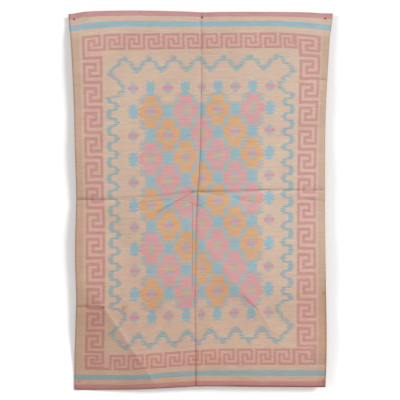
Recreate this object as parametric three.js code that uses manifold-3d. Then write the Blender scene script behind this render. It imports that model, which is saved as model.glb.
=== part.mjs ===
// Flat-woven cotton dhurrie rug, hung face on by three nails through its top edge.
// Millimetres, +Z up. The front of the cloth faces -Y. The nails enter the plane y = 0, and the
// origin is where the middle nail enters it. The cloth was kept folded in four, so its two main
// creases, one down the middle and one across it, are grid lines of the sheet.

import * as THREE from "three";
import { mergeVertices } from "three/addons/utils/BufferGeometryUtils.js";
import Module from "manifold-3d";

// Cloth
const CLOTH_THICKNESS = 3;
const LEAST_STAND_OFF = 8;

// Outline of the hung cloth, the selvedges from the bottom up and the ends from left to right
const LEFT_SELVEDGE = [
  { z: -2736, x: -943 },
  { z: -2517, x: -941 },
  { z: -2300, x: -932 },
  { z: -2077, x: -925 },
  { z: -1784, x: -932 },
  { z: -1344, x: -925 },
  { z: -978, x: -933 },
  { z: -699, x: -940 },
  { z: -347, x: -955 },
  { z: -142, x: -969 },
  { z: 15, x: -984 },
];
const RIGHT_SELVEDGE = [
  { z: -2713, x: 898 },
  { z: -2575, x: 900 },
  { z: -2300, x: 908 },
  { z: -1960, x: 899 },
  { z: -1784, x: 893 },
  { z: -1000, x: 894 },
  { z: -670, x: 900 },
  { z: -347, x: 914 },
  { z: -142, x: 929 },
  { z: 23, x: 951 },
];
const TOP_END = [
  { x: -984, z: 15 },
  { x: -760, z: 33 },
  { x: -490, z: 43 },
  { x: -200, z: 38 },
  { x: 0, z: 32 },
  { x: 350, z: 35 },
  { x: 700, z: 32 },
  { x: 951, z: 23 },
];
const BOTTOM_END = [
  { x: -943, z: -2736 },
  { x: -520, z: -2733 },
  { x: -180, z: -2714 },
  { x: -34, z: -2707 },
  { x: 350, z: -2709 },
  { x: 730, z: -2711 },
  { x: 898, z: -2713 },
];

// Main creases of the cloth folded in four
const CREASE_DOWN = [
  { z: -2710, x: -47 },
  { z: -2300, x: -56 },
  { z: -1780, x: -51 },
  { z: -1310, x: -34 },
  { z: -980, x: -16 },
  { z: -500, x: -5 },
  { z: 32, x: 0 },
];
const CREASE_ACROSS = [
  { x: -935, z: -1340 },
  { x: -600, z: -1336 },
  { x: -300, z: -1318 },
  { x: -34, z: -1284 },
  { x: 180, z: -1290 },
  { x: 500, z: -1278 },
  { x: 900, z: -1276 },
];
const MAIN_CREASE = { half_width: 16, depth: 6 };

// How far the back of the cloth stands off the wall at each corner, before the folds below
const CORNER_STAND_OFF = { topLeft: 44, topRight: 34, bottomLeft: 74, bottomRight: 66 };
const BILLOW = 12;

// Softer folds, each from one end to the other: a ridge stands out and a trough is negative
const SOFT_FOLDS = [
  { x0: -310, z0: -1420, x1: -50, z1: -1290, half_width: 26, rise: 7 },
  { x0: 70, z0: -1296, x1: 420, z1: -1366, half_width: 30, rise: -6 },
  { x0: -920, z0: -1330, x1: -600, z1: -1640, half_width: 95, rise: -9 },
  { x0: -600, z0: -1640, x1: -420, z1: -2160, half_width: 110, rise: -10 },
  { x0: -60, z0: -1580, x1: 330, z1: -2060, half_width: 80, rise: 8 },
  { x0: 310, z0: -2020, x1: 560, z1: -2330, half_width: 34, rise: 7 },
  { x0: 60, z0: -1900, x1: 360, z1: -2290, half_width: 90, rise: -7 },
  { x0: -740, z0: -2140, x1: -925, z1: -2130, half_width: 22, rise: -6 },
  { x0: -725, z0: -2128, x1: -470, z1: -2500, half_width: 26, rise: 7 },
  { x0: 830, z0: -455, x1: 915, z1: -462, half_width: 16, rise: -5 },
];

// Lines past which the cloth leans back to the wall, on the side that the normal points to
const LEANS = [
  { x: -725, z: -2128, nx: -0.82, nz: -0.57, slope: 0.1, soft: 30 },
  { x: 0, z: -2330, nx: 0, nz: -1, slope: 0.05, soft: 90 },
];

// The right selvedge rolls back below this height
const SELVEDGE_ROLL = { below: -1900, width: 34, depth: 11 };

// Slow ripples of the selvedges, which are woven tighter than the field
const RIPPLE = { height: 4, length: 620, reach: 150 };

// Grid of the sheet, in cells for each quarter, with the closer lines beside creases and nails
const CELLS_ACROSS_QUARTER = 15;
const CELLS_DOWN_QUARTER = 22;
const HALF_WIDTH = 940;
const HALF_HEIGHT = 1330;

// Nails
const NAIL = {
  shankRadius: 1.75,
  headRadius: 6,
  headEdge: 0.9,
  headDome: 1.7,
  inWall: 18,
  tipLength: 5,
};
const NAIL_SEGMENTS = 16;
const NAIL_GAP = 0.35;
const CLOTH_AT_NAIL = 22;
const FLAT_AT_NAIL = 20;
const PINCH_AT_NAIL = 120;
const NAIL_SQUARE = 9;
const NAILS = [
  { name: "nail_left", x: -943, z: -14 },
  { name: "nail_middle", x: 0, z: 0 },
  { name: "nail_right", x: 906, z: -8 },
];

const { clamp, lerp, smoothstep } = THREE.MathUtils;

// A smooth curve through a table's rows, read at any value of its first column
function curveThrough(rows, from, to) {
  const places = rows.map((row) => row[from]);
  const values = rows.map((row) => row[to]);
  const curve = new THREE.CubicInterpolant(places, values, 1);
  return (at) => curve.evaluate(at)[0];
}

const leftX = curveThrough(LEFT_SELVEDGE, "z", "x");
const rightX = curveThrough(RIGHT_SELVEDGE, "z", "x");
const topZ = curveThrough(TOP_END, "x", "z");
const bottomZ = curveThrough(BOTTOM_END, "x", "z");
const creaseX = curveThrough(CREASE_DOWN, "z", "x");
const creaseZ = curveThrough(CREASE_ACROSS, "x", "z");

const bell = (distance, halfWidth) => Math.exp(-((distance / halfWidth) ** 2));

// Rise of one soft fold, which fades out past both of its ends
function foldRise(fold, x, z) {
  const along = new THREE.Vector2(fold.x1 - fold.x0, fold.z1 - fold.z0);
  const length = along.length();
  along.divideScalar(length);
  const reach = new THREE.Vector2(x - fold.x0, z - fold.z0);
  const place = reach.dot(along);
  const across = reach.cross(along);
  const past = Math.max(0, -place, place - length);
  return fold.rise * bell(across, fold.half_width) * bell(past, 1.6 * fold.half_width);
}

// How far the cloth has leant back at a point past a line
function leanBack(lean, x, z) {
  const past = (x - lean.x) * lean.nx + (z - lean.z) * lean.nz;
  return lean.slope * lean.soft * Math.log1p(Math.exp(Math.min(past / lean.soft, 30)));
}

// Distance from the wall to the back of the cloth
function standOff(x, z) {
  const across = clamp((x - leftX(z)) / (rightX(z) - leftX(z)), 0, 1);
  const down = clamp((topZ(x) - z) / (topZ(x) - bottomZ(x)), 0, 1);
  const corners = CORNER_STAND_OFF;
  const top = lerp(corners.topLeft, corners.topRight, across);
  const bottom = lerp(corners.bottomLeft, corners.bottomRight, across);
  let off = lerp(top, bottom, down);
  off += BILLOW * Math.sin(Math.PI * across) * Math.sin(Math.PI * down);
  for (const fold of SOFT_FOLDS) {
    off += foldRise(fold, x, z);
  }
  for (const lean of LEANS) {
    off -= leanBack(lean, x, z);
  }
  off -= MAIN_CREASE.depth * bell(x - creaseX(z), MAIN_CREASE.half_width);
  off -= MAIN_CREASE.depth * bell(z - creaseZ(x), MAIN_CREASE.half_width);
  const toEdge = Math.min(x - leftX(z), rightX(z) - x);
  const wave = Math.sin((2 * Math.PI * z) / RIPPLE.length + Math.sign(x));
  off += RIPPLE.height * wave * bell(toEdge, RIPPLE.reach);
  const rolled = smoothstep(SELVEDGE_ROLL.below - z, 0, 300);
  off -= SELVEDGE_ROLL.depth * rolled * bell(rightX(z) - x, SELVEDGE_ROLL.width);
  for (const nail of NAILS) {
    const distance = Math.hypot(x - nail.x, z - nail.z);
    const free = smoothstep(distance, FLAT_AT_NAIL, PINCH_AT_NAIL);
    off = lerp(CLOTH_AT_NAIL, off, free);
  }
  return Math.max(off, LEAST_STAND_OFF);
}

// Even stops from 0 to 1 with closer ones where they are asked for
function gridStops(cells, closer) {
  const even = Array.from({ length: cells + 1 }, (_, index) => index / cells);
  return [...even, ...closer].sort((a, b) => a - b);
}

// A point of the cloth from its place in the four quarters, both counted from 0 to 2
function clothPoint(across, down) {
  let x = lerp(-HALF_WIDTH, HALF_WIDTH, across / 2);
  let z = lerp(0, -2 * HALF_HEIGHT, down / 2);
  for (let pass = 0; pass < 3; pass += 1) {
    x = across < 1
      ? lerp(leftX(z), creaseX(z), across)
      : lerp(creaseX(z), rightX(z), across - 1);
    z = down < 1
      ? lerp(topZ(x), creaseZ(x), down)
      : lerp(creaseZ(x), bottomZ(x), down - 1);
  }
  return { x, z };
}

// The cloth as one closed sheet: front, back and the rim that joins them
function clothSheet() {
  const besideCrease = MAIN_CREASE.half_width / HALF_WIDTH;
  const nailIn = 40 / HALF_WIDTH;
  const nailDown = 34 / HALF_HEIGHT;
  const square = NAIL_SQUARE / HALF_WIDTH;
  const squareDown = NAIL_SQUARE / HALF_HEIGHT;
  const half = gridStops(CELLS_ACROSS_QUARTER, [
    nailIn - square,
    nailIn + square,
    1 - besideCrease,
  ]);
  const upper = gridStops(CELLS_DOWN_QUARTER, [
    nailDown - squareDown,
    nailDown + squareDown,
    1 - besideCrease,
  ]);
  const lower = gridStops(CELLS_DOWN_QUARTER, [besideCrease]);
  const columns = [...half, ...half.slice(0, -1).reverse().map((stop) => 2 - stop)];
  const rows = [...upper, ...lower.slice(1).map((stop) => 1 + stop)];

  const positions = [];
  for (const side of [0, 1]) {
    for (const down of rows) {
      for (const across of columns) {
        const { x, z } = clothPoint(across, down);
        const back = -standOff(x, z);
        positions.push(x, back - (side === 0 ? CLOTH_THICKNESS : 0), z);
      }
    }
  }
  const wide = columns.length;
  const layer = wide * rows.length;
  const at = (side, row, column) => side * layer + row * wide + column;
  const triangles = [];
  const quad = (a, b, c, d) => triangles.push(a, b, c, a, c, d);
  for (let row = 0; row < rows.length - 1; row += 1) {
    for (let column = 0; column < wide - 1; column += 1) {
      quad(at(0, row, column), at(0, row + 1, column),
        at(0, row + 1, column + 1), at(0, row, column + 1));
      quad(at(1, row, column), at(1, row, column + 1),
        at(1, row + 1, column + 1), at(1, row + 1, column));
    }
  }
  const last = { row: rows.length - 1, column: wide - 1 };
  for (let row = 0; row < last.row; row += 1) {
    quad(at(0, row, 0), at(1, row, 0), at(1, row + 1, 0), at(0, row + 1, 0));
    quad(at(0, row + 1, last.column), at(1, row + 1, last.column),
      at(1, row, last.column), at(0, row, last.column));
  }
  for (let column = 0; column < last.column; column += 1) {
    quad(at(0, 0, column + 1), at(1, 0, column + 1), at(1, 0, column), at(0, 0, column));
    quad(at(0, last.row, column), at(1, last.row, column),
      at(1, last.row, column + 1), at(0, last.row, column + 1));
  }
  const sheet = new THREE.BufferGeometry();
  sheet.setAttribute("position", new THREE.Float32BufferAttribute(positions, 3));
  sheet.setIndex(triangles);
  return sheet;
}

// Outline of a nail turned about its own length, from the crown of its head to its tip
function nailGeometry() {
  const underHead = -(CLOTH_AT_NAIL + CLOTH_THICKNESS + NAIL_GAP);
  const headEdge = underHead - NAIL.headEdge;
  const profile = [
    [0, headEdge - NAIL.headDome],
    [0.45 * NAIL.headRadius, headEdge - 0.85 * NAIL.headDome],
    [0.8 * NAIL.headRadius, headEdge - 0.45 * NAIL.headDome],
    [NAIL.headRadius, headEdge],
    [NAIL.headRadius, underHead],
    [NAIL.shankRadius, underHead],
    [NAIL.shankRadius, NAIL.inWall - NAIL.tipLength],
    [0, NAIL.inWall],
  ].map(([radius, along]) => new THREE.Vector2(radius, along));
  return new THREE.LatheGeometry(profile, NAIL_SEGMENTS);
}

// Library solid from a closed geometry, and back again
const manifold = await Module();
manifold.setup();

function toSolid(geometry) {
  const bare = geometry.clone();
  bare.deleteAttribute("normal");
  bare.deleteAttribute("uv");
  const merged = mergeVertices(bare, 1e-4);
  return new manifold.Manifold(new manifold.Mesh({
    numProp: 3,
    vertProperties: new Float32Array(merged.attributes.position.array),
    triVerts: new Uint32Array(merged.index.array),
  }));
}

function toGeometry(solid) {
  const mesh = solid.getMesh();
  const geometry = new THREE.BufferGeometry();
  geometry.setAttribute("position", new THREE.Float32BufferAttribute(mesh.vertProperties, 3));
  geometry.setIndex(Array.from(mesh.triVerts));
  geometry.computeVertexNormals();
  return geometry;
}

// The cloth with the three holes that the nails make
function rugGeometry() {
  let rug = toSolid(clothSheet());
  const holeRadius = NAIL.shankRadius + NAIL_GAP;
  for (const nail of NAILS) {
    const drill = new THREE.CylinderGeometry(
      holeRadius,
      holeRadius,
      6 * CLOTH_THICKNESS,
      NAIL_SEGMENTS,
    );
    drill.translate(nail.x, -(CLOTH_AT_NAIL + CLOTH_THICKNESS / 2), nail.z);
    rug = rug.subtract(toSolid(drill));
  }
  return toGeometry(rug);
}

const cottonWeave = new THREE.MeshStandardMaterial({
  color: 0xccaf9b,
  roughness: 0.95,
  metalness: 0,
  side: THREE.DoubleSide,
});
const darkIron = new THREE.MeshStandardMaterial({
  color: 0x3a1c18,
  roughness: 0.5,
  metalness: 0.7,
});

const hungRug = new THREE.Group();

const rug = new THREE.Mesh(rugGeometry(), cottonWeave);
rug.name = "rug";
hungRug.add(rug);

for (const nail of NAILS) {
  const mesh = new THREE.Mesh(nailGeometry(), darkIron);
  mesh.name = nail.name;
  mesh.position.set(nail.x, 0, nail.z);
  hungRug.add(mesh);
}

export default hungRug;
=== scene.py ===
"""Flat-woven cotton dhurrie rug, hung face on by three nails, in metres.

+Z is up, the front of the cloth faces -Y and the origin is where the middle nail enters its plane
y = 0. The cloth is made on its hung shape, and the design is worked out on the flat cloth, from
the left selvedge and from the top end, in millimetres as a weaver would chart it.
"""
import math
import bmesh
import bpy
import numpy as np
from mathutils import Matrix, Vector, noise


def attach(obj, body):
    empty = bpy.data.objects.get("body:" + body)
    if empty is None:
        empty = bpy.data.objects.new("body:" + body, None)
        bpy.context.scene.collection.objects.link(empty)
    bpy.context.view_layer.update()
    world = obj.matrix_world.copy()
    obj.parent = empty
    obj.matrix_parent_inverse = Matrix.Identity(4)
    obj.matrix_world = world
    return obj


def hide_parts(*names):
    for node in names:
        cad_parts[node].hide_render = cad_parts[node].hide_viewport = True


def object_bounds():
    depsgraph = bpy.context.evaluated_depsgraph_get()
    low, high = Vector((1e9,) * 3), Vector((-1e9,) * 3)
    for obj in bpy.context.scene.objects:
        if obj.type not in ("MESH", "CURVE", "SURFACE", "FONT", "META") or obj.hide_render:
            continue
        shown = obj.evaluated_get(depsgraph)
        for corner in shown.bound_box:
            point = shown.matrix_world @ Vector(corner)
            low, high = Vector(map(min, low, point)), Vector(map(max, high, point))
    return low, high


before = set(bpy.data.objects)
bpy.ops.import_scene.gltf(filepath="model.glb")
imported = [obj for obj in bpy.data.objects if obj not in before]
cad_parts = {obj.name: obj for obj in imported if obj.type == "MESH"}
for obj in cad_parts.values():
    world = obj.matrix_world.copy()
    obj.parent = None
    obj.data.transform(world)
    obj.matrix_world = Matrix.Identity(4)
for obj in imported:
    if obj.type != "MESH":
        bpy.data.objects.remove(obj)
cad_low, cad_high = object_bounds()

# Cloth as it is cut, and how thick its weave is
FLAT_WIDTH = 1.825
FLAT_LENGTH = 2.763
CLOTH_THICKNESS = 0.003
LEAST_STAND_OFF = 0.008


def table(columns, *rows):
    """Rows of numbers under the names of their columns."""
    return [dict(zip(columns.split(), row)) for row in rows]


# Outline of the hung cloth
LEFT_SELVEDGE = table(
    "z x",
    (-2.736, -0.943), (-2.517, -0.941), (-2.300, -0.932), (-2.077, -0.925),
    (-1.784, -0.932), (-1.344, -0.925), (-0.978, -0.933), (-0.699, -0.940),
    (-0.347, -0.955), (-0.142, -0.969), (0.015, -0.984),
)
RIGHT_SELVEDGE = table(
    "z x",
    (-2.713, 0.905), (-2.575, 0.909), (-2.300, 0.911), (-1.960, 0.906),
    (-1.784, 0.903), (-1.000, 0.902), (-0.670, 0.908), (-0.347, 0.926),
    (-0.142, 0.940), (0.023, 0.960),
)
TOP_END = table(
    "x z",
    (-0.984, 0.024), (-0.890, 0.036), (-0.760, 0.043), (-0.490, 0.047), (-0.200, 0.042),
    (0.000, 0.037), (0.350, 0.038), (0.700, 0.036), (0.951, 0.029),
)
BOTTOM_END = table(
    "x z",
    (-0.943, -2.743), (-0.520, -2.737), (-0.180, -2.718), (-0.034, -2.711),
    (0.350, -2.713), (0.730, -2.715), (0.898, -2.717),
)

# Creases of the cloth that was kept folded in four
CREASE_DOWN = table(
    "z x",
    (-2.710, -0.047), (-2.300, -0.056), (-1.780, -0.051), (-1.310, -0.034),
    (-0.980, -0.016), (-0.500, -0.005), (0.032, 0.000),
)
CREASE_ACROSS = table(
    "x z",
    (-0.935, -1.340), (-0.600, -1.336), (-0.300, -1.318), (-0.034, -1.284),
    (0.180, -1.290), (0.500, -1.278), (0.900, -1.276),
)
MAIN_CREASE_HALF = 0.016
MAIN_CREASE_DEPTH = 0.006

# Stand-off of the cloth's back from the plane of the nails at the corners, and its slow billow
CORNER_STAND_OFF = {"top": (0.044, 0.034), "bottom": (0.072, 0.078)}
BILLOW = 0.012
SOFT_FOLDS = table(
    "x0 z0 x1 z1 half rise",
    (-0.310, -1.420, -0.050, -1.290, 0.026, 0.007),
    (0.070, -1.296, 0.420, -1.366, 0.030, -0.006),
    (-0.920, -1.330, -0.600, -1.640, 0.095, -0.009),
    (-0.600, -1.640, -0.420, -2.160, 0.110, -0.010),
    (-0.060, -1.580, 0.330, -2.060, 0.080, 0.008),
    (0.310, -2.020, 0.560, -2.330, 0.034, 0.007),
    (0.060, -1.900, 0.360, -2.290, 0.090, -0.007),
    (-0.740, -2.140, -0.925, -2.130, 0.022, -0.006),
    (-0.725, -2.128, -0.470, -2.500, 0.026, 0.007),
    (0.830, -0.455, 0.915, -0.462, 0.016, -0.005),
)
FOLD_END = 1.6
LEANS = table(
    "x z nx nz slope soft",
    (-0.725, -2.128, -0.82, -0.57, 0.100, 0.030),
    (0.000, -2.330, 0.00, -1.00, 0.050, 0.090),
)
SELVEDGE_ROLL = {"below": -1.900, "over": 0.300, "width": 0.034, "depth": 0.004}
RIPPLE = {"height": 0.004, "length": 0.620, "reach": 0.150}

# Nails, and how the cloth lies flat and pinched where they hold it
NAILS = table(
    "name x z",
    ("nail_left", -0.943, -0.014), ("nail_middle", 0.0, 0.0), ("nail_right", 0.906, -0.008),
)
CLOTH_AT_NAIL = 0.022
FLAT_AT_NAIL = 0.020
PINCH_AT_NAIL = 0.120

# How low the woven rows hang at the left, and how they rise from there to the viewer's right: by
# how much, and between which places
ROW_RISE = table(
    "down low rise start end",
    (0.000, 0.000, 0.002, -0.80, 0.76), (0.330, 0.000, 0.021, -0.80, 0.76),
    (0.680, 0.000, 0.037, -0.80, 0.76), (1.055, 0.000, 0.060, -0.80, 0.76),
    (1.605, 0.000, 0.073, -0.80, 0.76), (2.160, 0.000, 0.067, -0.80, 0.68),
    (2.490, 0.006, 0.052, -0.68, 0.25), (2.763, 0.008, 0.035, -0.62, 0.02),
)
TOP_ROW_Z = 0.032
CORNER_DROOP = {"depth": 0.029, "across": 0.40, "down": 0.70, "most": 1.1}
END_EASE = 0.090
SELVEDGE_FLARE = 0.26
OUTLINE_ROUNDS = 4

# How far the woven columns have been drawn sideways at six places across, the two in the middle
# on either side of the crease down, which takes up a little cloth
DRAWN_AT = (0.136, 0.420, 0.885, 0.955, 1.420, 1.760)
DRAWN_SIDEWAYS = table(
    "down key_left field_left crease_left crease_right field_right key_right",
    (0.200, -0.006, -0.004, 0.002, -0.003, -0.004, 0.020),
    (0.410, -0.006, 0.000, 0.010, -0.002, 0.010, 0.023),
    (0.620, -0.004, 0.001, 0.012, -0.003, 0.007, 0.018),
    (0.960, -0.002, 0.002, 0.014, -0.004, 0.003, 0.010),
    (1.230, 0.000, 0.004, 0.014, -0.003, 0.000, 0.003),
    (1.560, 0.015, 0.010, 0.016, -0.003, -0.002, 0.000),
    (1.900, 0.015, 0.013, 0.018, -0.006, -0.004, -0.001),
    (2.240, 0.012, 0.012, 0.016, -0.006, -0.009, -0.001),
    (2.500, 0.006, 0.006, 0.008, -0.004, -0.006, -0.001),
    (2.763, 0.000, 0.000, 0.000, 0.000, 0.000, 0.000),
)
LEFT_AT_REST = -0.929
RIGHT_AT_REST = LEFT_AT_REST + FLAT_WIDTH


def smooth_curve(rows, place, value):
    """A smooth curve through a table's rows, read at any places."""
    places = np.array([row[place] for row in rows])
    values = np.array([row[value] for row in rows])
    slopes = np.diff(values) / np.diff(places)
    tangents = np.concatenate([[0.0], (slopes[:-1] + slopes[1:]) / 2, [0.0]])

    def read(at):
        at = np.clip(at, places[0], places[-1])
        low = np.clip(np.searchsorted(places, at, side="right") - 1, 0, len(places) - 2)
        gap = places[low + 1] - places[low]
        part = (at - places[low]) / gap
        square, cube = part ** 2, part ** 3
        return ((2 * cube - 3 * square + 1) * values[low]
                + (cube - 2 * square + part) * gap * tangents[low]
                + (3 * square - 2 * cube) * values[low + 1]
                + (cube - square) * gap * tangents[low + 1])

    return read


left_x = smooth_curve(LEFT_SELVEDGE, "z", "x")
right_x = smooth_curve(RIGHT_SELVEDGE, "z", "x")
top_z = smooth_curve(TOP_END, "x", "z")
bottom_z = smooth_curve(BOTTOM_END, "x", "z")
crease_x = smooth_curve(CREASE_DOWN, "z", "x")
crease_z = smooth_curve(CREASE_ACROSS, "x", "z")
row_low = smooth_curve(ROW_RISE, "down", "low")
row_rise = smooth_curve(ROW_RISE, "down", "rise")
rise_start = smooth_curve(ROW_RISE, "down", "start")
rise_end = smooth_curve(ROW_RISE, "down", "end")


def ease(value, start, end):
    """0 before start, 1 past end and a smooth step between them."""
    part = np.clip((value - start) / (end - start), 0, 1)
    return part * part * (3 - 2 * part)


def bell(distance, half):
    return np.exp(-(distance / half) ** 2)


def fold_rise(fold, x, z):
    """Rise of one soft fold, which fades out past both of its ends."""
    run = math.hypot(fold["x1"] - fold["x0"], fold["z1"] - fold["z0"])
    along_x, along_z = (fold["x1"] - fold["x0"]) / run, (fold["z1"] - fold["z0"]) / run
    place = (x - fold["x0"]) * along_x + (z - fold["z0"]) * along_z
    across = (x - fold["x0"]) * along_z - (z - fold["z0"]) * along_x
    past = np.maximum(0, np.maximum(-place, place - run))
    return fold["rise"] * bell(across, fold["half"]) * bell(past, FOLD_END * fold["half"])


def lean_back(lean, x, z):
    """How far the cloth has leant back at a place past a line."""
    past = (x - lean["x"]) * lean["nx"] + (z - lean["z"]) * lean["nz"]
    return lean["slope"] * lean["soft"] * np.logaddexp(0, past / lean["soft"])


def stand_off(x, z):
    """Distance from the plane of the nails to the back of the cloth."""
    across = np.clip((x - left_x(z)) / (right_x(z) - left_x(z)), 0, 1)
    down = np.clip((top_z(x) - z) / (top_z(x) - bottom_z(x)), 0, 1)
    top = np.interp(across, [0, 1], CORNER_STAND_OFF["top"])
    bottom = np.interp(across, [0, 1], CORNER_STAND_OFF["bottom"])
    off = top + (bottom - top) * down
    off = off + BILLOW * np.sin(np.pi * across) * np.sin(np.pi * down)
    for fold in SOFT_FOLDS:
        off = off + fold_rise(fold, x, z)
    for lean in LEANS:
        off = off - lean_back(lean, x, z)
    off = off - MAIN_CREASE_DEPTH * bell(x - crease_x(z), MAIN_CREASE_HALF)
    off = off - MAIN_CREASE_DEPTH * bell(z - crease_z(x), MAIN_CREASE_HALF)
    to_edge = np.minimum(x - left_x(z), right_x(z) - x)
    wave = np.sin(2 * np.pi * z / RIPPLE["length"] + np.sign(x))
    off = off + RIPPLE["height"] * wave * bell(to_edge, RIPPLE["reach"])
    rolled = ease(SELVEDGE_ROLL["below"] - z, 0, SELVEDGE_ROLL["over"])
    off = off - SELVEDGE_ROLL["depth"] * rolled * bell(right_x(z) - x, SELVEDGE_ROLL["width"])
    for nail in NAILS:
        distance = np.hypot(x - nail["x"], z - nail["z"])
        free = ease(distance, FLAT_AT_NAIL, PINCH_AT_NAIL)
        off = CLOTH_AT_NAIL + (off - CLOTH_AT_NAIL) * free
    return np.maximum(off, LEAST_STAND_OFF)


def row_height(x, down):
    """Height of a woven row at a place across, before it is eased to the ends' outline."""
    droop = ease(CORNER_DROOP["down"] - down, 0, CORNER_DROOP["down"])
    to_edge = np.minimum(x - LEFT_AT_REST, RIGHT_AT_REST - x)
    corner = np.clip(1 - to_edge / CORNER_DROOP["across"], 0, CORNER_DROOP["most"]) ** 2
    rise = row_rise(down) * ease(x, rise_start(down), rise_end(down)) - row_low(down)
    return TOP_ROW_Z - down + rise - CORNER_DROOP["depth"] * droop * corner


def drawn_sideways(across, down):
    """How far a place on the cloth has been drawn to the right, row of the mesh by row."""
    downs = [row["down"] for row in DRAWN_SIDEWAYS]
    names = list(DRAWN_SIDEWAYS[0])[1:]
    stations = [0.0, *DRAWN_AT, FLAT_WIDTH]
    drawn = np.zeros_like(across)
    for place in range(across.shape[0]):
        amounts = [np.interp(down[place, 0], downs, [row[name] for row in DRAWN_SIDEWAYS])
                   for name in names]
        drawn[place] = np.interp(across[place], stations, [0.0, *amounts, 0.0])
    return drawn


def hung_place(across, down):
    """Where the points of the flat cloth hang, seen face on, a row of points for each row."""
    rest = LEFT_AT_REST + across + drawn_sideways(across, down)
    left_flare = np.clip(1 - across / SELVEDGE_FLARE, 0, 1) ** 2
    right_flare = np.clip(1 - (FLAT_WIDTH - across) / SELVEDGE_FLARE, 0, 1) ** 2
    near_top = ease(END_EASE - down, 0, END_EASE)
    near_bottom = ease(down - FLAT_LENGTH + END_EASE, 0, END_EASE)
    x = rest
    z = TOP_ROW_Z - down
    for _ in range(OUTLINE_ROUNDS):
        x = (rest + (left_x(z) - LEFT_AT_REST) * left_flare
             + (right_x(z) - RIGHT_AT_REST) * right_flare)
        z = (row_height(x, down)
             + (top_z(x) - row_height(x, np.zeros_like(x))) * near_top
             + (bottom_z(x) - row_height(x, np.full_like(x, FLAT_LENGTH))) * near_bottom)
    return x, z


# Small creases on the flat cloth, in millimetres: from one end to the other, half the width of the
# line, how deeply it is pressed, or raised where below nothing, and how much painted shade lies
# along it, which is a painted highlight where below nothing
SMALL_CREASES = table(
    "across0 down0 across1 down1 half depth soil",
    (600, 1476, 850, 1350, 7, 4.0, 0.28), (915, 1351, 1075, 1384, 5, 3.0, 0.30),
    (470, 1400, 700, 1392, 4, 2.0, 0.20), (843, 1450, 840, 2060, 4, 2.5, 0.28),
    (851, 1450, 849, 2240, 4, -2.5, -0.16),
    (833, 1433, 900, 1458, 5, 3.0, 0.22), (1190, 1420, 1340, 1459, 6, 2.0, 0.16),
    (4, 2157, 190, 2158, 4, 2.0, 0.35), (4, 2140, 150, 2143, 4, -2.0, -0.12),
    (196, 2158, 352, 2372, 5, -3.0, -0.14), (352, 2372, 553, 2670, 5, -2.2, -0.12),
    (1242, 2145, 1345, 2240, 5, 3.5, 0.26), (1352, 2240, 1440, 2375, 6, -2.5, -0.14),
    (1758, 512, 1822, 522, 4, 2.0, 0.32), (1700, 1442, 1822, 1452, 5, 2.0, 0.22),
    (40, 1372, 220, 1374, 4, 2.0, 0.22), (1240, 1362, 1420, 1366, 4, 1.5, 0.20),
)

# The cloth's own mesh
COARSE = 0.0145
FINE = 0.0025
CREASE_DOWN_SPAN = (0.834, 0.940)
CREASE_ACROSS_SPAN = (1.300, 1.425)
RIM_STEPS = (0.2, 0.5, 0.8)
RIM_BULGE = 0.0012
PRESSED = {"half": 0.005, "down": 0.0022, "across": 0.0012, "crossing": 0.003, "reach": 0.16}
SMALL_CREASE = {"half": 0.013, "end": 0.026, "part": 0.45}
FINE_WAVE = {"height": 0.0016, "scale": 7.0, "seed": 31.0}
BAKE_MARGIN = 0.006
BAKE_STEP = 0.2 * BAKE_MARGIN
JUST_OVER_HALF = 0.5001


def mesh_places(length, fine_span):
    """Places along a side of the cloth, close together where a main crease runs."""
    start, end = fine_span
    return np.concatenate([
        np.linspace(0, start, round(start / COARSE), endpoint=False),
        np.linspace(start, end, round((end - start) / FINE), endpoint=False),
        np.linspace(end, length, round((length - end) / COARSE) + 1),
    ])


def sharp_creases(x, z):
    """The fold lines pressed into the two main creases, deeper near where they cross."""
    from_down, from_across = x - crease_x(z), z - crease_z(x)
    near = bell(np.hypot(from_down, from_across), PRESSED["reach"])
    half = PRESSED["half"]
    down = np.exp(-np.abs(from_down) / half) * (PRESSED["down"] + PRESSED["crossing"] * near)
    across = np.exp(-np.abs(from_across) / half) * (PRESSED["across"] + PRESSED["crossing"] * near)
    return down + across


def small_creases(across, down):
    """The soft trough, or ridge, that each small crease leaves in the cloth."""
    depth = np.zeros_like(across)
    for crease in SMALL_CREASES:
        start_across, start_down = crease["across0"] / 1000, crease["down0"] / 1000
        wide = crease["across1"] / 1000 - start_across
        high = crease["down1"] / 1000 - start_down
        run = math.hypot(wide, high)
        along = ((across - start_across) * wide + (down - start_down) * high) / run
        beside = ((across - start_across) * high - (down - start_down) * wide) / run
        past = np.maximum(0, np.maximum(-along, along - run))
        line = bell(beside, SMALL_CREASE["half"]) * bell(past, SMALL_CREASE["end"])
        depth = depth + crease["depth"] / 1000 * SMALL_CREASE["part"] * line
    return depth


def fine_wave(x, z):
    """The slight unevenness of a cloth that has been walked on and folded."""
    places = np.stack([x.ravel(), z.ravel()], axis=1)
    scale, seed = FINE_WAVE["scale"], FINE_WAVE["seed"]
    heights = [noise.noise(Vector((px * scale, seed, pz * scale))) for px, pz in places]
    return FINE_WAVE["height"] * np.array(heights).reshape(x.shape)


def bake_layout(flat, border, faces):
    """Where the faces lie on a baked sheet: the front left, the back right, the rim around the front."""
    half = np.array([0.5 - 2 * BAKE_MARGIN, 1 - 2 * BAKE_MARGIN])
    on_sheet = flat / [FLAT_WIDTH, FLAT_LENGTH] * half + BAKE_MARGIN
    parts = [on_sheet[faces[0]], on_sheet[faces[1] - len(flat)] + [0.5, 0]]
    spread = (on_sheet[border] - on_sheet.mean(axis=0)) / half * 2
    outward = np.round(spread * JUST_OVER_HALF) * BAKE_STEP
    for step in range(len(faces) - 2):
        inner = on_sheet[border] + outward * step
        outer = on_sheet[border] + outward * (step + 1)
        parts.append(np.stack([inner, np.roll(inner, -1, axis=0),
                               np.roll(outer, -1, axis=0), outer], axis=1))
    return np.concatenate([part.reshape(-1, 2) for part in parts])


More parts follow.
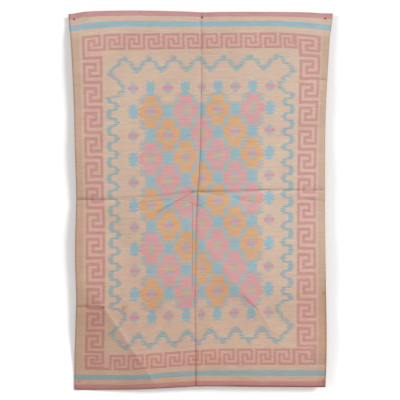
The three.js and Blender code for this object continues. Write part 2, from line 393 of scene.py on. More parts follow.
def woven_rug():
    """The cloth: a front and a back on its hung shape, and a rounded rim between them."""
    across, down = np.meshgrid(mesh_places(FLAT_WIDTH, CREASE_DOWN_SPAN),
                               mesh_places(FLAT_LENGTH, CREASE_ACROSS_SPAN))
    x, z = hung_place(across, down)
    pressed = sharp_creases(x, z) + small_creases(across, down)
    back = -(stand_off(x, z) + fine_wave(x, z) - pressed)
    front = back - CLOTH_THICKNESS
    count = across.size
    index = np.arange(count).reshape(across.shape)
    border = np.concatenate([index[0, :-1], index[:-1, -1], index[-1, :0:-1], index[:0:-1, 0]])
    points = [np.stack([x, front, z], axis=-1).reshape(-1, 3),
              np.stack([x, back, z], axis=-1).reshape(-1, 3)]
    edge = points[0][border]
    outward = np.roll(edge, 1, axis=0) - np.roll(edge, -1, axis=0)
    outward = np.stack([-outward[:, 2], np.zeros(len(border)), outward[:, 0]], axis=1)
    outward /= np.linalg.norm(outward, axis=1, keepdims=True)
    for step in RIM_STEPS:
        bulge = RIM_BULGE * math.sin(math.pi * step)
        points.append(edge + [0, CLOTH_THICKNESS * step, 0] + outward * bulge)

    top_left, top_right = index[:-1, :-1].ravel(), index[:-1, 1:].ravel()
    low_left, low_right = index[1:, :-1].ravel(), index[1:, 1:].ravel()
    faces = [np.stack([top_left, low_left, low_right, top_right], axis=1),
             np.stack([top_left, top_right, low_right, low_left], axis=1) + count]
    rims = [border] + [2 * count + len(border) * k + np.arange(len(border))
                       for k in range(len(RIM_STEPS))] + [border + count]
    for near, far in zip(rims, rims[1:]):
        faces.append(np.stack([near, np.roll(near, -1), np.roll(far, -1), far], axis=1))

    mesh = bpy.data.meshes.new("woven_rug")
    mesh.from_pydata(np.concatenate(points).tolist(), [], np.concatenate(faces).tolist())
    rug = bpy.data.objects.new("woven_rug", mesh)
    bpy.context.collection.objects.link(rug)

    flat = np.stack([across.ravel(), down.ravel()], axis=1)
    cloth = np.concatenate([flat, flat] + [flat[border]] * len(RIM_STEPS))
    corners = np.concatenate(faces).ravel()
    mesh.uv_layers.new(name="cloth").data.foreach_set("uv", cloth[corners].ravel())

    bake = bake_layout(flat, border, faces)
    mesh.uv_layers.new(name="OFBake").data.foreach_set("uv", bake.ravel())
    mesh.shade_smooth()
    return rug


class Finish:
    """A material being made: it makes the nodes and joins them."""

    def __init__(self, name):
        self.material = bpy.data.materials.new(name)
        self.material.use_nodes = True
        self.tree = self.material.node_tree
        self.shader = self.tree.nodes["Principled BSDF"]

    def node(self, kind, settings=None, inputs=None):
        """A node of one kind, with its settings made before its sockets are fed."""
        made = self.tree.nodes.new(kind)
        for name, setting in (settings or {}).items():
            setattr(made, name, setting)
        for socket, value in (inputs or {}).items():
            self.feed(made.inputs[socket], value)
        return made

    def feed(self, socket, value):
        if isinstance(value, Amount):
            value = value.socket
        if isinstance(value, bpy.types.NodeSocket):
            self.tree.links.new(value, socket)
        elif hasattr(value, "__len__") and len(value) == 3 and socket.type == "RGBA":
            socket.default_value = (*value, 1)
        else:
            socket.default_value = value

    def surface(self, sockets):
        """Feed the shader's sockets by their names, which ends the making."""
        for name, value in sockets.items():
            self.feed(self.shader.inputs[name], value)
        return self.material

    def amount(self, socket):
        return Amount(self, socket)

    def maths(self, operation, *values):
        inputs = dict(enumerate(values))
        return self.amount(self.node("ShaderNodeMath", {"operation": operation}, inputs).outputs[0])

    def blend(self, part, under, over, way="MIX"):
        """One colour over another by a part from 0 to 1."""
        made = self.node("ShaderNodeMix", {"data_type": "RGBA", "blend_type": way},
                         {0: part, 6: under, 7: over})
        return made.outputs[2]

    def tinted(self, colour, part, tint):
        """A colour seen through a part of a tint."""
        return self.blend(1.0, colour, self.blend(part, WHITE, tint), "MULTIPLY")

    def grain(self, place, scale, detail=2.0, rough=0.5):
        """Soft noise from 0 to 1 at a place."""
        made = self.node("ShaderNodeTexNoise", {"noise_dimensions": "3D"},
                         {"Vector": place, "Scale": scale, "Detail": detail, "Roughness": rough})
        return self.amount(made.outputs[0])

    def read_off(self, value, rows, name):
        """A column of a table read at a value of its first column, straight between the rows."""
        first = list(rows[0])[0]
        low, high = rows[0][first], rows[-1][first]
        worth = max(abs(row[name]) for row in rows)
        made = self.tree.nodes.new("ShaderNodeFloatCurve")
        points = made.mapping.curves[0].points
        while len(points) < len(rows):
            points.new(0.5, 0.5)
        for point, row in zip(points, rows):
            point.location = ((row[first] - low) / (high - low), row[name] / worth)
            point.handle_type = "VECTOR"
        made.mapping.update()
        self.feed(made.inputs["Value"], (value - low) / (high - low))
        return self.amount(made.outputs[0]) * worth

    def place(self, x, y, z=0.0):
        return self.node("ShaderNodeCombineXYZ", None, {0: x, 1: y, 2: z}).outputs[0]


class Amount:
    """A number that varies over a surface, which sums work on as they do on plain numbers."""

    def __init__(self, finish, socket):
        self.finish = finish
        self.socket = socket

    def __add__(self, other):
        return self.finish.maths("ADD", self, other)

    def __sub__(self, other):
        return self.finish.maths("SUBTRACT", self, other)

    def __rsub__(self, other):
        return self.finish.maths("SUBTRACT", other, self)

    def __neg__(self):
        return 0.0 - self

    def __mul__(self, other):
        return self.finish.maths("MULTIPLY", self, other)

    def __truediv__(self, other):
        return self.finish.maths("DIVIDE", self, other)

    def __rpow__(self, other):
        return self.finish.maths("POWER", other, self)

    def __mod__(self, other):
        return self.finish.maths("FLOORED_MODULO", self, other)

    def __abs__(self):
        return self.finish.maths("ABSOLUTE", self)

    def __gt__(self, other):
        return self.finish.maths("GREATER_THAN", self, other)

    def __lt__(self, other):
        return self.finish.maths("LESS_THAN", self, other)

    def __floor__(self):
        return self.finish.maths("FLOOR", self)

    def most(self, other):
        return self.finish.maths("MAXIMUM", self, other)

    def least(self, other):
        return self.finish.maths("MINIMUM", self, other)

    def held(self, low=0.0, high=1.0):
        """Held between two values."""
        return self.most(low).least(high)

    def equals(self, other):
        return self.finish.maths("COMPARE", self, other, 0.5)

    def within(self, low, high):
        return (self > low) * (self < high)

    __radd__ = __add__
    __rmul__ = __mul__


def chart(rows, column, row):
    """1 where a small chart of the weave has a mark, read at a whole column and row."""
    number = 0
    for place, marks in enumerate(rows):
        worth = sum(2 ** at for at, mark in enumerate(marks) if mark == "#")
        if worth:
            number = number + row.equals(place) * float(worth)
    return math.floor(number / 2.0 ** column) % 2.0


def fading(distance, reach):
    """1 at no distance, and less the further away a place is."""
    return math.e ** (distance / -reach)


# Dyed cottons, as faded as they are now, and the tints of dirt and painted shade, of painted shade, and
# of stains
WHITE = (1.0, 1.0, 1.0)
BEIGE = (0.560, 0.425, 0.333)
KEY_GROUND = (0.582, 0.372, 0.322)
ROSE = (0.474, 0.268, 0.236)
END_ROSE = (0.500, 0.270, 0.262)
BLUE = (0.275, 0.418, 0.472)
GREY_BLUE = (0.378, 0.400, 0.388)
LINE_BLUE = (0.240, 0.354, 0.382)
PALE_LINE = (0.345, 0.405, 0.410)
HEART_BLUE = (0.370, 0.403, 0.385)
ORANGE = (0.592, 0.355, 0.198)
PINK = (0.585, 0.318, 0.325)
DEEP_PINK = (0.545, 0.275, 0.350)
FADED_PINK = (0.520, 0.300, 0.365)
FADED_ORANGE = (0.540, 0.372, 0.262)
SOIL_AND_SHADE_TINT = (0.55, 0.34, 0.25)
SHADE_TINT = (0.55, 0.50, 0.43)
STAIN_AND_SHADE_TINT = (0.62, 0.30, 0.12)

# Main creases on the flat cloth, in millimetres, and the painted shade along them
FLAT_CREASE_DOWN = table(
    "down across soil",
    (0, 925, 0.45), (660, 917, 0.50), (1030, 908, 0.60), (1250, 895, 0.60), (1360, 880, 0.75),
    (1520, 872, 0.55), (1770, 861, 0.35), (2140, 857, 0.35), (2380, 868, 0.35), (2500, 874, 0.70),
    (2763, 882, 0.90),
)
FLAT_CREASE_ACROSS = table(
    "across down",
    (0, 1372), (215, 1374), (500, 1381), (690, 1380), (800, 1362), (880, 1349), (1000, 1353),
    (1300, 1362), (1825, 1373),
)
MAIN_CREASE_PRESS = {"half": 5.0, "depth": 2.2, "shade_half": 3.2}
CROSS_CREASE_PRESS = {"half": 4.0, "depth": 1.5, "soil": 0.16}
SMALL_CREASE_END = 30.0

# Cloth that hangs in its own shade beyond the fold at the lower left
SHADED_FOLD = table("down across", (1880, 20), (2158, 190), (2372, 345), (2670, 548), (2763, 600))
SHADE = {"part": 0.20, "soft": 14.0, "over": 260.0}

# Stains, and a spot of painted shade at the deep end of the fold at the lower left: their middle,
# half width, half height and strength
STAINS_AND_FOLD_SHADE = table(
    "across down wide high strength",
    (342, 2172, 12, 22, 0.55), (366, 2158, 8, 12, 0.35), (1807, 2126, 10, 16, 0.45),
    # Painted shade at the deep end of the fold, not a stain
    (194, 2160, 9, 9, 1.00),
    (1806, 2722, 10, 14, 0.50), (33, 2703, 12, 14, 0.30),
)

# Soil and wear over the cloth, with painted shade that darkens it towards the bottom, as parts of
# the full tint, at the left, the middle and the right
SOIL_AND_PAINTED_SHADE = table(
    "down left middle right",
    (0, 0.10, 0.16, 0.08), (170, 0.14, 0.19, 0.04), (300, 0.15, 0.23, 0.05), (425, 0.13, 0.17, 0.02),
    (760, 0.15, 0.18, 0.01), (1125, 0.22, 0.19, 0.00), (1590, 0.28, 0.21, 0.02),
    (1960, 0.31, 0.28, 0.10), (2220, 0.48, 0.38, 0.30), (2510, 0.42, 0.37, 0.26),
    (2620, 0.46, 0.48, 0.38), (2763, 0.60, 0.66, 0.52),
)
SOIL_AND_PAINTED_SHADE_AT = (136.0, 920.0, 1690.0)

# Soil and painted shade along the selvedges, and how much more or less of it there is in the lower third
SELVEDGE_BAND = 66
SELVEDGE_SOFT = 20.0
SELVEDGE_SOIL_AND_SHADE = {"left": 0.26, "left_lower": -0.16, "right": 0.26, "right_lower": 0.06}
LOWER_THIRD = {"start": 1850.0, "over": 300.0, "least": 0.1}
PAST_KEY = 0.5

# Painted shade in a dark line along the curled right selvedge, a dark line along the top end, and
# a painted shadow along the hem, which is darkest at its right
EDGE_LINE = {"reach": 6.0, "soil": 0.75}
TOP_LINE = {"reach": 5.0, "soil": 0.55}
HEM_LINE = {"reach": 6.0, "start": 1080.0, "over": 120.0, "least": 0.15}

# Unevenness of the weaving, the dye and the soil: how fine it is across and down, and how much
UNEVEN = {row["name"]: row for row in table(
    "name across down detail part",
    ("wander", 0.02, 0.004, 2.0, 8.0), ("ply", 0.5, 0.8, 2.0, 3.0),
    ("streak", 0.0035, 0.11, 3.0, 0.24), ("cloud", 0.004, 0.004, 3.0, 0.14),
    ("yarn", 0.12, 0.75, 2.0, 0.22), ("grime", 0.006, 0.006, 4.0, 0.16),
)}
DYE = {"across": 0.016, "down": 0.12, "detail": 2.0, "part": 0.22}

# Bands at the two ends, in millimetres from the end of the cloth
TOP_BANDS = {"rose": 33, "beige": 65, "blue": 105, "key": (154, 276)}
BOTTOM_BANDS = {"rose": 38, "beige": 71, "blue": 108, "key": (145, 256)}

# Ribs over the warps and picks of the wefts, in millimetres, and how high they and the tufts stand
RIB_PITCH = 2.1
PICK_PITCH = 0.9
TUFT_SCALE = 0.9
WEAVE_HEIGHT = {"rib": 0.7, "pick": 0.25, "tuft": 0.5, "bump": 0.5, "distance": 0.0005}

# Teeth where two colours meet, from turning their wefts about different warps
COMB_PITCH = 7.6
COMB_DEPTH = 2.6
LINE_COMB_DEPTH = 8.0
SIDE_COMB_DEPTH = 4.5

# Key border: its unit at the ends, and at the sides, where it is turned a quarter
END_KEY = (
    "#######.",
    "#.....#.",
    "#.###.#.",
    "#.#.#.#.",
    "#.#.###.",
    "#.#.....",
    "#.######",
)
SIDE_KEY = (
    "#######",
    "......#",
    "#####.#",
    "#...#.#",
    "#.###.#",
    "#.#...#",
    "#.#####",
    "#......",
)
UNIT_CELLS = 8.0
KEY_CELL = 19.4
KEY_WIDE = 7 * KEY_CELL
KEY_JOIN = 17
KEY_LEFT = 68
KEY_RIGHT = 1624
SIDE_KEY_TOP = 315
SIDE_KEY_LAST = 2480
TOP_KEY_END = 1614
BOTTOM_KEY_START = 242

# Where each run of key units starts, how long its units are and how many there are
LEFT_KEY_RUNS = ((315, 184.5, 10), (2160, 160, 2), (2480, 114, 1))
RIGHT_KEY_RUNS = ((156, 159, 1), *LEFT_KEY_RUNS)
TOP_KEY_RUNS = ((68, 142.5, 10), (1493, 120, 1))
BOTTOM_KEY_RUNS = ((242, 135, 10), (1592, 168, 1))

# Middle of the zigzag line, across at the sides and at the ends, and down
SIDES_MIDDLE = 915
ENDS_MIDDLE = 921
LINE_MIDDLE = 1399

# Zigzag line: half a wave at the ends and the sides, and the corner between them
END_WAVE = (
    "#.......",
    "##......",
    "##......",
    "#####...",
    "...##...",
    "...###..",
    "....##..",
    "....####",
    ".....###",
    "......##",
    ".......#",
)
END_WAVE_CELL = (11.55, 11.6)
END_WAVE_OUT = 1077
END_WAVE_TURN = 554
END_WAVE_DRAWN = -19
END_WAVES = 3
CORNER_WAVE = (
    "#........",
    "###......",
    "..##.....",
    "..##.....",
    "...###...",
    ".....##..",
    "......##.",
    "......###",
    "......###",
    ".....##..",
    "...###...",
    "..##.....",
    "..##.....",
    "###......",
    "##.......",
    "##.......",
    "###......",
    "..##.....",
    "...####..",
)
CORNER_WAVE_CELL = (14.2, 16.1)
SIDE_WAVE = (
    "#######...........",
    ".######...........",
    ".######...........",
    "..######..........",
    "..############....",
    "...############...",
    "..........#####...",
    "...........######.",
    "...........#######",
)
SIDE_WAVE_CELL = (5.6, 6.56)
SIDE_WAVE_OUT = 688
SIDE_WAVE_END = 776
SIDE_WAVE_DEEP = 120

# Flower lattice: its columns and half rows, the middle ones, and how far its rows were woven
# below their even places at its left and at its right
LATTICE_COLUMNS = 7
LATTICE_ROWS = 9
MIDDLE_COLUMN = 3.0
MIDDLE_ROW = 4.0
LATTICE_ACROSS = 921
LATTICE_DOWN = 1396
COLUMN_PITCH = 124.8
ROW_PITCH = 169.3
ROWS_LOW = table(
    "down left right",
    (549, 11, 18), (719, 15, 18), (888, 24, 22), (1057, 29, 27), (1227, 27, 27), (1396, 29, 30),
    (1565, 18, 20), (1735, 11, 22), (1904, 0, 24), (2073, 3, 20), (2242, 0, 16),
)
TILE = (12, 15)
FLOWER = (
    "########....",
    "########....",
    "########....",
    "#######.....",
    "#####.......",
    "####........",
    "####........",
    "####........",
    "####........",
    "####........",
)
OUTLINE = (
    "............",
    "............",
    "............",
    "............",
    "............",
    "....####....",
    "....###.....",
    "....####....",
    "....##......",
    "....####....",
    "#####.......",
    "###.........",
)
DIAMOND = (
    ".........###",
    ".........###",
    "..........##",
    "...........#",
)
RING = (
    "........#...",
    "........#...",
    "........##..",
    ".......####.",
    ".....#######",
)
HEART = (
    "............",
    "##..........",
    "##..........",
    "#...........",
)
STRIPE = (
    "####........",
)
LONG_STRIPE = (
    "#####.......",
)
END_BUD = (
    "..#..",
    "#.#..",
    "###..",
    "####.",
    "###..",
    "####.",
    "###..",
    "##...",
    "##...",
    "##...",
)
END_BUD_CELL = (9.0, 11.5)
END_BUD_TOP = 58
SIDE_BUD = (
    "####.",
    "#####",
    "##...",
    "####.",
    "#....",
)
SIDE_BUD_CELL = (8.2, 11.4)
LOZENGE = (
    "###..",
    "##...",
    "#....",
)
LOZENGE_CELL = (10.0, 11.0)
LOZENGE_BAR = (38.0, 11.0)


def run_count(place, runs):
    """How many units of a border lie before a place, with the weaver's shorter and longer ones."""
    count = 0
    for start, pitch, units in runs:
        count = ((place - start) / pitch).held(0.0, float(units)) + count
    return count


def key_border(across, down):
    """The key border, one unbroken line around the four sides."""
    length = FLAT_LENGTH * 1000
    top, top_low = TOP_BANDS["key"]
    bottom_low, bottom_high = (length - edge for edge in BOTTOM_BANDS["key"])
    top_cell = (top_low - top) / len(END_KEY)
    bottom_cell = (bottom_low - bottom_high) / len(END_KEY)

    unit = run_count(across, TOP_KEY_RUNS)
    ends = chart(END_KEY, math.floor(unit % 1.0 * UNIT_CELLS), math.floor((down - top) / top_cell))
    line = ends * across.within(KEY_LEFT, TOP_KEY_END)

    unit = run_count(across, BOTTOM_KEY_RUNS)
    ends = chart(END_KEY, math.floor(unit % 1.0 * UNIT_CELLS),
                 math.floor((down - bottom_high) / bottom_cell))
    line = line.most(ends * across.within(BOTTOM_KEY_START, KEY_RIGHT + KEY_WIDE))

    row = math.floor(run_count(down, LEFT_KEY_RUNS) % 1.0 * UNIT_CELLS)
    left = chart(SIDE_KEY, math.floor((across - KEY_LEFT) / KEY_CELL), row)
    line = line.most(left * down.within(SIDE_KEY_TOP, bottom_low - bottom_cell))
    row = math.floor(run_count(down, RIGHT_KEY_RUNS) % 1.0 * UNIT_CELLS)
    right = chart(SIDE_KEY, math.floor((across - KEY_RIGHT) / KEY_CELL), row)
    first = RIGHT_KEY_RUNS[0][0]
    line = line.most(right * down.within(first, SIDE_KEY_LAST + top_cell))

    joins = (
        (KEY_LEFT, KEY_LEFT + KEY_CELL, top_low, SIDE_KEY_TOP),
        (TOP_KEY_END - KEY_JOIN, TOP_KEY_END, top, top_low),
        (TOP_KEY_END - KEY_JOIN, KEY_RIGHT, first, first + top_cell),
        (KEY_LEFT, BOTTOM_KEY_START + KEY_JOIN, bottom_low - bottom_cell, bottom_low),
        (KEY_RIGHT + KEY_WIDE - KEY_CELL, KEY_RIGHT + KEY_WIDE, SIDE_KEY_LAST, bottom_low),
    )
    for left_edge, right_edge, high, low in joins:
        line = line.most(across.within(left_edge, right_edge) * down.within(high, low))
    sides = across.within(KEY_LEFT, KEY_LEFT + KEY_WIDE)
    sides = sides.most(across.within(KEY_RIGHT, KEY_RIGHT + KEY_WIDE))
    ends = down.within(top, top_low).most(down.within(bottom_high, bottom_low))
    band = sides.most(ends) * across.within(KEY_LEFT, KEY_RIGHT + KEY_WIDE)
    return line, band * down.within(top, bottom_low)


def zigzag_line(across, down):
    """The stepped blue line around the field."""
    away = abs(down - LINE_MIDDLE)
    cell_across, cell_down = END_WAVE_CELL
    beside = across - ENDS_MIDDLE
    bowed = (1.0 - beside * beside / END_WAVE_TURN ** 2).most(0.0) * END_WAVE_DRAWN
    wave = END_WAVE_TURN / END_WAVES
    step = abs((beside - bowed + wave / 2) % wave - wave / 2)
    ends = chart(END_WAVE, math.floor(step / cell_across),
                 math.floor((END_WAVE_OUT - away) / cell_down))
    ends = ends * (abs(beside) < END_WAVE_TURN)

    cell_across, cell_down = CORNER_WAVE_CELL
    corner = chart(CORNER_WAVE, math.floor((abs(beside) - END_WAVE_TURN) / cell_across),
                   math.floor((END_WAVE_OUT - away) / cell_down))

    cell_across, cell_down = SIDE_WAVE_CELL
    aside = abs(across - SIDES_MIDDLE)
    half = len(SIDE_WAVE) * cell_down
    step = half - abs(away % (2 * half) - half)
    sides = chart(SIDE_WAVE, math.floor((SIDE_WAVE_OUT - aside) / cell_across),
                  len(SIDE_WAVE) - 1.0 - math.floor(step / cell_down))
    sides = sides * (away < SIDE_WAVE_END)
    return ends.most(corner).most(sides)


def flower_field(finish, ground, across, down):
    """The lattice of orange and pink flowers, its blue diamonds, and the buds around it."""
    field_width = (LATTICE_COLUMNS + 1) * COLUMN_PITCH
    to_right = ((across - LATTICE_ACROSS) / field_width + 0.5).held()
    low_left = finish.read_off(down, ROWS_LOW, "left")
    low_right = finish.read_off(down, ROWS_LOW, "right")
    down = down - low_left - (low_right - low_left) * to_right
    column = (across - LATTICE_ACROSS) / COLUMN_PITCH + MIDDLE_COLUMN
    row = (down - LATTICE_DOWN) / ROW_PITCH + MIDDLE_ROW
    tile_across, tile_down = math.floor(column), math.floor(row)
    odd = (tile_across + tile_down) % 2.0
    odd = odd > 0.5
    part = column - tile_across
    part = part + odd * (1.0 - part * 2.0)
    fall = row - tile_down
    wide, high = (float(cells) for cells in TILE)
    cell = math.floor(part * wide)
    line = math.floor(fall * high)
    cell_back = (wide - 1.0) - cell
    line_back = (high - 1.0) - line

    here = tile_across + odd
    there = tile_across + 1.0 - odd
    below = tile_down + 1.0
    rows_here = tile_down.within(-0.5, LATTICE_ROWS - 0.5)
    rows_there = below.within(-0.5, LATTICE_ROWS - 0.5)
    columns_here = here.within(-0.5, LATTICE_COLUMNS - 0.5)
    columns_there = there.within(-0.5, LATTICE_COLUMNS - 0.5)
    has_here = columns_here * rows_here
    has_there = columns_there * rows_there
    orange_here = ((tile_down - here) / 2.0 % 2.0) < 0.5
    orange_there = ((below - there) / 2.0 % 2.0) < 0.5

    colour = ground
    line_any = chart(OUTLINE, cell, line) * has_here
    line_any = line_any.most(chart(OUTLINE, cell_back, line_back) * has_there)
    colour = finish.blend(line_any, colour, GREY_BLUE)
    for cells, lines, has, orange in ((cell, line, has_here, orange_here),
                                      (cell_back, line_back, has_there, orange_there)):
        petals = finish.blend(orange, PINK, ORANGE)
        colour = finish.blend(chart(FLOWER, cells, lines) * has, colour, petals)
        colour = finish.blend(chart(HEART, cells, lines) * has, colour, HEART_BLUE)
        stripe = chart(LONG_STRIPE, cells, lines) * has * (1.0 - orange)
        colour = finish.blend(stripe, colour, FADED_ORANGE)
        stripe = chart(STRIPE, cells, lines) * has * orange
        colour = finish.blend(stripe, colour, FADED_PINK)

    for marks, cloth in ((RING, GREY_BLUE), (DIAMOND, BLUE)):
        gem = chart(marks, cell, line) * columns_there * rows_here
        gem = gem.most(chart(marks, cell_back, line_back) * columns_here * rows_there)
        colour = finish.blend(gem, colour, cloth)
    return buds_and_lozenges(finish, colour, column, row)


def buds_and_lozenges(finish, colour, column, row):
    """The blue buds and the pink lozenges that stand by turns around the lattice."""
    near_column = math.floor(column + 0.5)
    near_row = math.floor(row + 0.5)
    aside = (column - near_column) * COLUMN_PITCH
    away = (row - near_row) * ROW_PITCH
    out_sides = near_column.equals(-1.0).most(near_column.equals(LATTICE_COLUMNS))
    out_ends = near_row.equals(-1.0).most(near_row.equals(LATTICE_ROWS))
    rim = out_sides.most(out_ends)
    rim = rim * near_column.within(-1.5, LATTICE_COLUMNS + 0.5)
    rim = rim * near_row.within(-1.5, LATTICE_ROWS + 0.5)
    budded = ((near_column + near_row) % 2.0) > 0.5
    outward = away * (1.0 - (near_row > MIDDLE_ROW) * 2.0)
    wide, high = END_BUD_CELL
    end_bud = chart(END_BUD, math.floor(abs(aside) / wide),
                    math.floor((outward + END_BUD_TOP) / high))
    wide, high = SIDE_BUD_CELL
    side_bud = chart(SIDE_BUD, math.floor(abs(aside) / wide), math.floor(abs(away) / high))
    bud = end_bud * out_ends + side_bud * out_sides * (1.0 - out_ends)
    colour = finish.blend(bud * rim * budded, colour, BLUE)
    wide, high = LOZENGE_CELL
    half_wide, half_high = LOZENGE_BAR
    plain = rim * (1.0 - budded)
    caps = chart(LOZENGE, math.floor(abs(aside) / wide),
                 math.floor((abs(away) - half_high) / high))
    colour = finish.blend(caps * plain, colour, GREY_BLUE)
    bar = (abs(away) < half_high) * (abs(aside) < half_wide)
    return finish.blend(bar * plain, colour, DEEP_PINK)


def pressed_crease(across, down, crease):
    """How much of a small crease there is at a place: 1 on its line, less beside it and past it."""
    wide, high = crease["across1"] - crease["across0"], crease["down1"] - crease["down0"]
    run = math.hypot(wide, high)
    from_start = across - crease["across0"]
    below_start = down - crease["down0"]
    beside = (from_start * high - below_start * wide) / run
    along = (from_start * wide + below_start * high) / run
    past = (-along).most(along - run).most(0.0)
    fade = (1.0 - past / SMALL_CREASE_END).most(0.0)
    return fading(abs(beside), crease["half"]) * fade


def creases(finish, across, down):
    """Depth in metres of all the pressed creases, and the painted shade and highlights along them."""
    beside = abs(across - finish.read_off(down, FLAT_CREASE_DOWN, "across"))
    depth = fading(beside, MAIN_CREASE_PRESS["half"]) * (MAIN_CREASE_PRESS["depth"] / 1000)
    # Painted shade along the main crease
    fold_shade = fading(beside, MAIN_CREASE_PRESS["shade_half"])
    soil = fold_shade * finish.read_off(down, FLAT_CREASE_DOWN, "soil")
    beside = abs(down - finish.read_off(across, FLAT_CREASE_ACROSS, "down"))
    line = fading(beside, CROSS_CREASE_PRESS["half"])
    depth = depth + line * (CROSS_CREASE_PRESS["depth"] / 1000)
    # Painted shade along the crease across
    soil = soil + line * CROSS_CREASE_PRESS["soil"]
    for crease in SMALL_CREASES:
        line = pressed_crease(across, down, crease)
        depth = depth + line * (crease["depth"] / 1000)
        # Painted shade along the small creases, and painted highlights along the raised ones
        soil = soil + line * crease["soil"]
    return depth, soil


def stains_and_fold_shade(across, down):
    """Strength of the stains, and of the painted shade at the end of the fold, at a place."""
    total = 0
    for stain in STAINS_AND_FOLD_SHADE:
        aside = (across - stain["across"]) / stain["wide"]
        away = (down - stain["down"]) / stain["high"]
        total = math.e ** -(aside * aside + away * away) * stain["strength"] + total
    return total


def end_bands(finish, colour, down):
    """The rose, beige and blue bands across both ends."""
    length = FLAT_LENGTH * 1000
    for bands, from_end in ((TOP_BANDS, down), (BOTTOM_BANDS, length - down)):
        colour = finish.blend(from_end.within(bands["beige"], bands["blue"]), colour, BLUE)
        colour = finish.blend(from_end < bands["rose"], colour, END_ROSE)
    return colour


def uneven(finish, name, across, down):
    """One kind of unevenness at a place, to either side of nothing."""
    row = UNEVEN[name]
    place = finish.place(across * row["across"], down * row["down"])
    return (finish.grain(place, 1.0, row["detail"]) - 0.5) * row["part"]


def woven_design(finish, across, down):
    """The colours of the wefts as the weaver laid them in, with their teeth."""
    comb = finish.maths("SIGN", finish.maths("SINE", down * (math.pi / COMB_PITCH)))
    beside_field = abs(across - SIDES_MIDDLE) > SIDE_WAVE_OUT - SIDE_WAVE_DEEP
    beside_field = beside_field * (abs(down - LINE_MIDDLE) < SIDE_WAVE_END)
    line_comb = beside_field * (SIDE_COMB_DEPTH - LINE_COMB_DEPTH) + LINE_COMB_DEPTH
    loose = across + uneven(finish, "ply", across, down)
    drawn_across = loose + comb * COMB_DEPTH
    drawn_down = down + uneven(finish, "wander", across, down)

    line, band = key_border(drawn_across, drawn_down)
    colour = finish.blend(band, BEIGE, KEY_GROUND)
    colour = finish.blend(line, colour, ROSE)
    line_dye = finish.blend(comb * 0.5 + 0.5, PALE_LINE, LINE_BLUE)
    line = zigzag_line(loose + comb * line_comb, drawn_down)
    colour = finish.blend(line, colour, line_dye)
    colour = flower_field(finish, colour, drawn_across, drawn_down)
    return end_bands(finish, colour, drawn_down)


def faded(finish, colour, across, down):
    """The streaks, clouds and uneven yarns of a faded cloth."""
    shade = 1.0
    for name in ("streak", "cloud", "yarn"):
        shade = shade + uneven(finish, name, across, down)
    grey = finish.node("ShaderNodeCombineColor", None, {0: shade, 1: shade, 2: shade}).outputs[0]
    colour = finish.blend(1.0, colour, grey, "MULTIPLY")
    place = finish.place(across * DYE["across"], down * DYE["down"])
    dye = finish.node("ShaderNodeTexNoise", {"noise_dimensions": "3D"},
                      {"Vector": place, "Scale": 1.0, "Detail": DYE["detail"]})
    return finish.blend(DYE["part"], colour, dye.outputs["Color"], "OVERLAY")


def soil_and_painted_shade(finish, across, down):
    """Soil and painted shade over the cloth, at its selvedges and along its edges."""
    # Soil, with painted shade that darkens the cloth towards the bottom
    left, middle, right = (finish.read_off(down, SOIL_AND_PAINTED_SHADE, name)
                           for name in ("left", "middle", "right"))
    left_at, middle_at, right_at = SOIL_AND_PAINTED_SHADE_AT
    past_left = ((across - left_at) / (middle_at - left_at)).held()
    past_middle = ((across - middle_at) / (right_at - middle_at)).held()
    soil = left + (middle - left) * past_left + (right - middle) * past_middle

    length = FLAT_LENGTH * 1000
    from_right = FLAT_WIDTH * 1000 - across
    beside_field = down.within(TOP_BANDS["key"][0], length - BOTTOM_BANDS["key"][0])
    beyond_key = (beside_field + PAST_KEY) / (1 + PAST_KEY)
    lower = ((down - LOWER_THIRD["start"]) / LOWER_THIRD["over"]).held(LOWER_THIRD["least"])
    # Soil and painted shade along the selvedges
    for from_edge, side in ((across, "left"), (from_right, "right")):
        amount = lower * SELVEDGE_SOIL_AND_SHADE[side + "_lower"] + SELVEDGE_SOIL_AND_SHADE[side]
        edge = ((SELVEDGE_BAND - from_edge) / SELVEDGE_SOFT).held()
        soil = soil + edge * beyond_key * amount
    # Painted shade along the curled right selvedge in the lower third, and a dark line along the top end
    soil = soil + fading(from_right, EDGE_LINE["reach"]) * lower * EDGE_LINE["soil"]
    soil = soil + fading(down, TOP_LINE["reach"]) * TOP_LINE["soil"]
    # Painted shadow along the hem, darkest at its right
    to_right = ((across - HEM_LINE["start"]) / HEM_LINE["over"]).held(HEM_LINE["least"])
    soil = soil + fading(length - down, HEM_LINE["reach"]) * to_right
    return soil + uneven(finish, "grime", across, down)


def shaded(finish, across, down):
    """How much of the shade beyond the fold there is at a place."""
    beyond = finish.read_off(down, SHADED_FOLD, "across") - across
    below = down - SHADED_FOLD[0]["down"]
    return (beyond / SHADE["soft"]).held() * (below / SHADE["over"]).held() * SHADE["part"]


def ribs_and_picks(finish, across, down):
    """Height of the weave, with its tufts."""
    rib = finish.maths("SINE", across * (math.pi / RIB_PITCH))
    warp = math.floor(across / (2 * RIB_PITCH))
    pick = finish.maths("SINE", down * (math.pi / PICK_PITCH) + warp * math.pi)
    tuft = finish.grain(finish.place(across, down), TUFT_SCALE)
    return (abs(rib) * WEAVE_HEIGHT["rib"] + pick * WEAVE_HEIGHT["pick"]
            + tuft * WEAVE_HEIGHT["tuft"])


